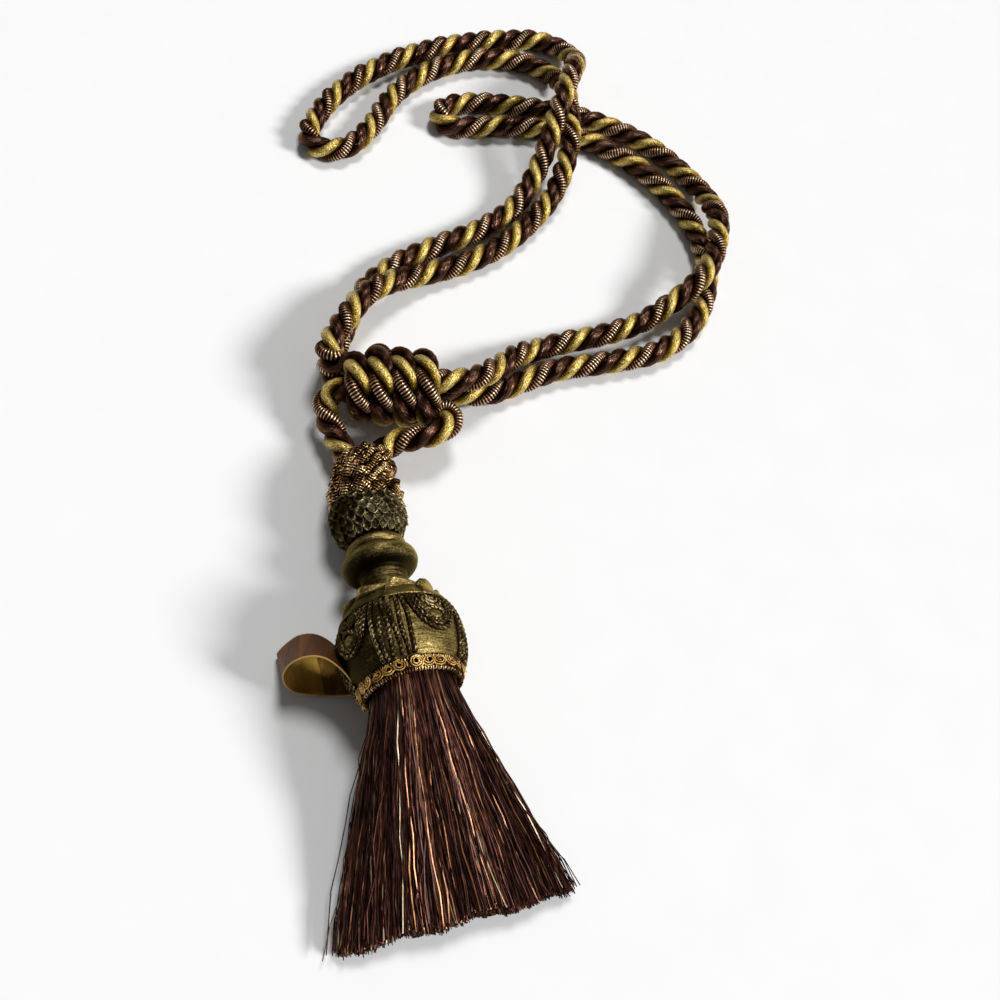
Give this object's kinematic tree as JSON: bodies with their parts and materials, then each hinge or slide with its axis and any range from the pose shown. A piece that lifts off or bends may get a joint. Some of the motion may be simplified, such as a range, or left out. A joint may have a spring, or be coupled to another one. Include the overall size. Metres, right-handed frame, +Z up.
{
  "type": "rope curtain tieback with tassel",
  "caption": "Twisted rope curtain tieback: two doubled loops gathered by a wrapped knot above a gilded key tassel with a thread skirt.",
  "frame": {"origin": "on the table under the middle of the tassel's box, rope left out", "axes": "+Z up from the table, +Y along the tassel from its skirt to its cap and on to the knot, +X towards the right-hand loop"},
  "size_m": [0.2506, 0.4262, 0.0453],
  "materials": {
    "rope": "three-strand viscose rope in old gold, dark brown and metal-wound bronze",
    "cap_cord": "looped fine cord in copper, gold and brown",
    "gilt": "antique gilt paint with dark patina in the relief, satin",
    "gimp": "curls of metal-wound cord, copper gold",
    "skirt_thread": "cut rayon threads, dark brown with copper and pale ones",
    "ribbon": "satin ribbon, brown outside and old gold inside"
  },
  "bodies": {
    "root": {"rope_knot": "rope", "rope_leg_left": "rope", "rope_leg_right": "rope", "rope_loop_right": "rope", "rope_loop_left": "rope", "tassel_cap": "cap_cord", "tassel_head": "gilt", "gimp_trim": "gimp", "tassel_skirt": "skirt_thread", "ribbon_loop": "ribbon"}
  },
  "joints": []
}
